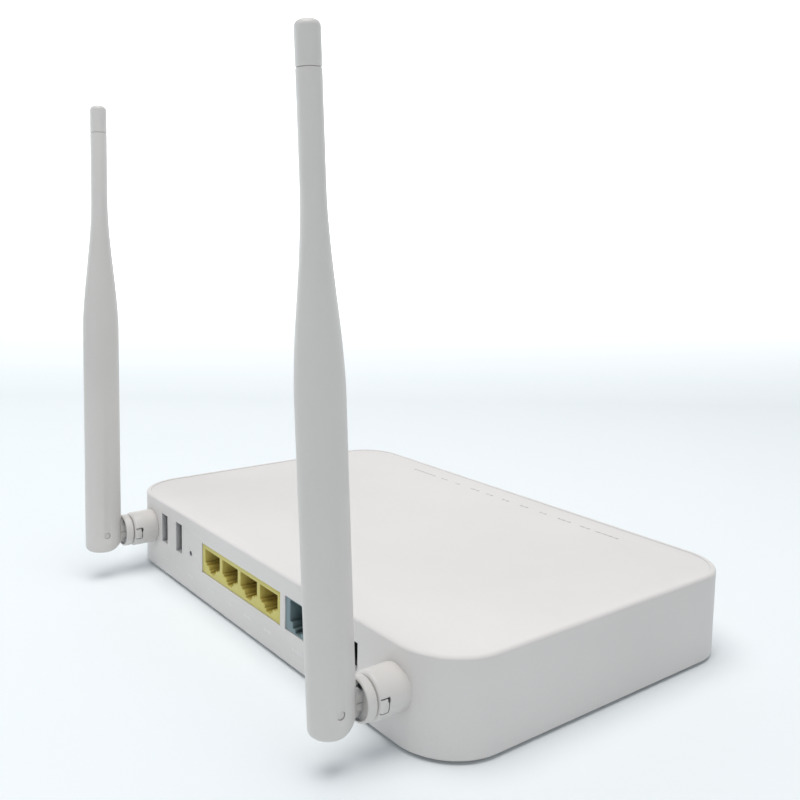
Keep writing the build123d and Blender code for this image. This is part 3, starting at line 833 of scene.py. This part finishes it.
def build_dust_cap():
    socket_low, socket_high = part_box("optical_socket")
    y, z = (socket_low.y + socket_high.y) / 2, socket_low.z + optical_axis
    low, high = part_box("optical_dust_cap")
    cap = block("dust_cap_head", (dust_head_start, low.y, low.z), high)
    rib_start, rib_end = dust_head_start + rib_margin, high.x - rib_margin
    levels = ((high.z - rib_depth, high.z + overshoot), (low.z - overshoot, low.z + rib_depth))
    grooves = []
    for index in range(rib_count):
        middle = y + (index - rib_count // 2) * rib_pitch
        for z_low, z_high in levels:
            grooves.append(block("cut", (rib_start, middle - rib_half, z_low),
                                 (rib_end, middle + rib_half, z_high)))
    carve(cap, grooves)
    half_y, half_z = dust_plug
    plug = block("cut", (low.x, y - half_y, z - half_z),
                 (dust_head_start + 0.5 * MM, y + half_y, z + half_z))
    carve(cap, [plug], "UNION")
    carve(cap, [bore((low.x - overshoot, y, z), ALONG_X, *dust_bore)])
    soften(cap, 0.4 * MM, 3)
    place(cap, cap_plastic, "dust_cap", ["optical_dust_cap"])


# ---------------------------------------------------------------- aerials

def blade_section(height):
    """Half thickness and half depth of the blade at a height above its hinge."""
    share = min(max((height - taper[0]) / (taper[1] - taper[0]), 0.0), 1.0)
    blend = share * share * (3 - 2 * share)
    thick = blade_thickness + (rod_radius - blade_thickness) * blend
    deep = blade_depth + (rod_radius - blade_depth) * blend
    return thick, deep


def oval(thick, low, high, height, segments=72):
    """A level oval of one half thickness, between two depths."""
    ring = []
    for index in range(segments):
        angle = 2 * math.pi * index / segments
        y = (low + high) / 2 + (high - low) / 2 * math.sin(angle)
        ring.append(Vector((thick * math.cos(angle), y, height)))
    return ring


def corner_inset(lift, radius):
    """How far a rounded bottom corner has drawn in at a lift above the bottom."""
    return radius - math.sqrt(radius ** 2 - (radius - lift) ** 2) if lift < radius else 0.0


def blade_rings():
    """Level ovals from the rounded foot of the blade to the seam under its tip cap."""
    foot_steps, lower_steps, taper_steps = 14, 8, 32
    rings = []
    for step in range(foot_steps + 1):
        lift = inner_corner * (1 - math.cos(math.pi / 2 * step / foot_steps))
        thick = blade_thickness - corner_inset(lift, blade_lip)
        low = -blade_depth + corner_inset(lift, inner_corner)
        high = blade_depth - corner_inset(lift, outer_corner)
        rings.append(oval(thick, low, high, lift - blade_foot))
    levels = [taper[0] * index / lower_steps for index in range(1, lower_steps)]
    levels += [taper[0] + (taper[1] - taper[0]) * index / taper_steps for index in range(taper_steps + 1)]
    levels += [150 * MM, cap_seam - 0.35 * MM]
    for height in levels:
        thick, deep = blade_section(height)
        rings.append(oval(thick, -deep, deep, height))
    neck = rod_radius - seam_depth
    rings.append(oval(neck, -neck, neck, cap_seam - 0.05 * MM))
    return rings


def build_blade(name, stand):
    """The blade, slotted for the knuckle's tongue and bored for the pin."""
    blade = from_rings(f"{name}_blade_shell", blade_rings())
    reach = tongue_radius + 0.25 * MM
    far = 12 * MM
    slot_outline = quarter((0, 0), reach, 0, 12)
    slot_outline += [(-far, reach + 0.85 * MM), (-far, -far), (reach, -far)]
    carve(blade, [plate("cut", slot_outline, tongue_half + joint_gap)])
    carve(blade, [bore((-10 * MM, 0, 0), ALONG_X, pin_radius, 20 * MM)])
    soften(blade, 0.16 * MM, angle=42, smooth=42)
    blade.data.transform(stand)
    place(blade, aerial, f"{name}_aerial", [f"{name}_aerial_blade"])


def build_tip(name, stand):
    """The tip cap, with a spigot that goes down into the rod."""
    spigot = 2.2 * MM
    seam = cap_seam + 0.02 * MM
    profile = [(cap_seam - 5 * MM, spigot), (seam, spigot), (seam, rod_radius - seam_depth),
               (seam + seam_depth, rod_radius)]
    profile += turned_corner((rod_radius - cap_corner, blade_top - cap_corner), cap_corner, 0, 10)
    profile.append((blade_top, 0.4 * MM))
    cap = turned(f"{name}_tip_cap", (0, 0, 0), ALONG_Z, profile, 72)
    smooth_shade(cap)
    cap.data.transform(stand)
    place(cap, aerial, f"{name}_aerial", [f"{name}_aerial_cap"])


def build_pin(name, stand):
    reach = blade_thickness - 0.35 * MM
    bevel = 0.2 * MM
    radius = pin_radius - 0.03 * MM
    profile = ((-reach, radius - bevel), (-reach + bevel, radius),
               (reach - bevel, radius), (reach, radius - bevel))
    pin = turned(f"{name}_pin", (0, 0, 0), ALONG_X, profile, 40)
    smooth_shade(pin, 30)
    pin.data.transform(stand)
    place(pin, aerial, f"{name}_aerial", [f"{name}_hinge_pin"])


def around_collar(axis, along, angle):
    """The transform that puts a tool at a distance along the collar and an angle about it."""
    turn = Matrix.Rotation(math.radians(-angle), 4, "Y")
    return Matrix.Translation(axis + Vector((0, along, 0))) @ turn


def build_collar(name, axis):
    """The fixed collar, with a snap finger cut in its wall and a small eye at the finger's corner."""
    end = rear + collar_length
    inner = shaft_radius + 0.05 * MM
    profile = [(inner_rear, inner - overshoot), (inner_rear, collar_radius)]
    corner = (collar_radius - collar_corner, end - collar_corner)
    profile += turned_corner(corner, collar_corner, 0, 8)
    profile.append((end, inner - overshoot))
    collar = turned(f"{name}_collar", axis, ALONG_Y, profile, 96)
    tools = [turned("cut", axis, ALONG_Y, ((inner_rear - overshoot, inner), (end + overshoot, inner)), 96)]

    radial = (4.0 * MM, 9.0 * MM)
    half_slit = finger_slit / 2
    slits = [(edge, finger_length / 2, half_slit, finger_back + finger_length / 2) for edge in finger_edges]
    slits.append((sum(finger_edges) / 2, half_slit, finger_width / 2, finger_back))
    for angle, half_y, half_z, along in slits:
        slit = block("cut", (radial[0], -half_y, -half_z), (radial[1], half_y, half_z))
        slit.data.transform(around_collar(axis, along, angle))
        tools.append(slit)
    eye = bore((radial[0], 0, 0), ALONG_X, eye_radius, radial[1] - radial[0], 32)
    eye.data.transform(Matrix.Diagonal((1, 1, eye_stretch, 1)))
    eye.data.transform(around_collar(axis, finger_back, eye_angle))
    tools.append(eye)
    for tool in tools:
        carve(collar, [tool])
    soften(collar, 0.07 * MM)
    place(collar, aerial, "housing", [f"{name}_aerial_socket"])


def build_knuckle(name, axis, hinge_y):
    """The turning ring with its dished face, and the tongue that the blade hinges on."""
    start = rear + collar_length + joint_gap
    end = start + ring_length
    floor = end - dish_depth
    inner_edge, outer_edge, dish_edge = 0.8 * MM, 0.7 * MM, 0.12 * MM
    floor_edge = 0.3 * MM
    profile = [(inner_rear + overshoot, shaft_radius), (start, shaft_radius)]
    profile += turned_corner((ring_radius - inner_edge, start + inner_edge), inner_edge, -90, 8)
    profile += turned_corner((ring_radius - outer_edge, end - outer_edge), outer_edge, 0, 8)
    dish_wall = dish_radius - dish_edge
    profile += [(end - dish_edge, dish_wall), (floor + floor_edge, dish_wall),
                (floor, dish_wall - floor_edge), (floor, 1.0 * MM)]
    knuckle = turned(f"{name}_knuckle", (0, 0, 0), ALONG_Y, profile, 96)

    upper = [(floor - 0.5 * MM, tongue_neck), (floor + 0.2 * MM, tongue_neck),
             (floor + 1.4 * MM, tongue_radius)]
    tongue_outline = [(y, -z) for y, z in upper] + quarter((hinge_y, 0), tongue_radius, -90, 12)
    tongue_outline += quarter((hinge_y, 0), tongue_radius, 0, 12)[1:] + list(reversed(upper))
    carve(knuckle, [plate("cut", tongue_outline, tongue_half)], "UNION")

    channel_half = 0.85 * MM
    carve(knuckle, [block("cut", (-channel_half, end - 2.2 * MM, 0.2 * MM),
                          (channel_half, end + 4 * MM, 5.2 * MM))])
    groove_half = 0.18 * MM
    for x in (-tongue_half, tongue_half):
        carve(knuckle, [block("cut", (x - groove_half, floor - 0.1 * MM, -0.5 * MM),
                              (x + groove_half, end + 3.2 * MM, -0.25 * MM))])
    soften(knuckle, 0.10 * MM)
    swing = Matrix.Rotation(math.radians(knuckle_swing[name]), 4, "Y")
    knuckle.data.transform(Matrix.Translation(axis) @ swing)
    place(knuckle, aerial, f"{name}_swivel", [f"{name}_aerial_swivel"])


def build_aerial(name):
    """One aerial, leaning as its tilt joint's range says when that ends just past upright."""
    tilt = next(joint for joint in frame["joints"] if joint["name"] == f"{name}_aerial_tilt")
    pivot = Vector(tilt["pos_m"])
    lean = Matrix.Rotation(math.radians(tilt["range_deg"][0] + upright_stop), 4, "X")
    swing = Matrix.Rotation(math.radians(knuckle_swing[name]), 4, "Y")
    stand = Matrix.Translation(pivot) @ swing @ lean
    axis = Vector((pivot.x, 0, pivot.z))
    build_blade(name, stand)
    build_tip(name, stand)
    build_pin(name, stand)
    build_collar(name, axis)
    build_knuckle(name, axis, pivot.y)


build_cover()
build_base()
build_feet()
build_marks()
build_jacks()
build_power_jack()
build_button()
build_optical_socket()
build_dust_cap()
for side_name in ("left", "right"):
    build_aerial(side_name)


# ---------------------------------------------------------------- floor, light and camera

# The level direction away from the camera, and the one across it
away = Vector((0.811, -0.585, 0))
across = Vector((0.585, 0.811, 0))


def build_studio():
    """A pale floor that sweeps up into a low wall behind the object and glows more towards it."""
    reach, bend, start, height = 6.0, 0.5, 1.8, 1.15
    glow_start, glow_end, far_glow = 0.42, 1.7, 0.80
    profile = [(-reach, 0.0)] + quarter((start, bend), bend, -90, 16) + [(start + bend, height)]
    vertices = []
    for along, level in profile:
        for width in (-reach, reach):
            vertices.append(away * along + across * width + Vector((0, 0, level)))
    faces = [(2 * k, 2 * k + 1, 2 * k + 3, 2 * k + 2) for k in range(len(profile) - 1)]
    studio = new_piece("studio_sweep", vertices, faces)
    studio.data.shade_smooth()
    paper = Shader("studio_paper", specular=0.2)
    fibre = paper.span(paper.noise(2.0), 0.0, 1.0)
    tone = paper.mix(fibre, (0.86, 0.90, 0.92), (0.88, 0.915, 0.93))
    distance = paper.node("ShaderNodeVectorMath", operation="DOT_PRODUCT")
    distance.inputs[1].default_value = away
    paper.link(paper.place, distance.inputs[0])
    glow = paper.span(distance.outputs["Value"], 0.0, far_glow, glow_start, glow_end)
    paper.surface.inputs["Emission Color"].default_value = (1.0, 1.0, 1.0, 1.0)
    paper.link(glow, paper.surface.inputs["Emission Strength"])
    studio.data.materials.append(paper.finish(tone, paper.span(paper.noise(5.0), 0.75, 0.9)))


def area_light(name, place_at, aim, size, power, colour):
    data = bpy.data.lights.new(name, "AREA")
    data.shape = "DISK"
    data.size = size
    data.energy = power
    data.color = colour
    lamp = bpy.data.objects.new(name, data)
    lamp.location = place_at
    lamp.visible_camera = False
    lamp.rotation_euler = (Vector(aim) - Vector(place_at)).to_track_quat("-Z", "Y").to_euler()
    bpy.context.scene.collection.objects.link(lamp)


def build_light():
    world = bpy.data.worlds.new("studio")
    bpy.context.scene.world = world
    world.use_nodes = True
    sky = world.node_tree.nodes["Background"]
    sky.inputs["Color"].default_value = (0.89, 0.945, 1.0, 1)
    sky.inputs["Strength"].default_value = 0.43
    area_light("key", (-0.1, 0.2, 1.5), (0, 0, 0), 1.4, 16.5, (1.0, 0.98, 0.955))
    area_light("fill", (0.75, 0.55, 0.30), (0, 0, 0.05), 0.5, 0.9, (0.88, 0.95, 1.0))


def build_camera():
    azimuth = math.radians(234.182)
    elevation = math.radians(6.115)
    roll = math.radians(0.869)
    data = bpy.data.cameras.new("camera")
    data.sensor_width = 36.0
    data.lens = 40.70
    data.shift_x = 0.0626
    data.shift_y = -0.0902
    data.clip_start = 0.01
    camera = bpy.data.objects.new("camera", data)
    level = math.cos(elevation)
    back = Vector((math.sin(azimuth) * level, -math.cos(azimuth) * level, math.sin(elevation)))
    turn = back.to_track_quat("Z", "Y").to_matrix().to_4x4() @ Matrix.Rotation(roll, 4, "Z")
    camera.matrix_world = Matrix.Translation(Vector((-0.2722, 0.2213, 0.1452))) @ turn
    bpy.context.scene.collection.objects.link(camera)
    bpy.context.scene.camera = camera


build_studio()
build_light()
build_camera()
bpy.context.scene.view_settings.view_transform = "Standard"
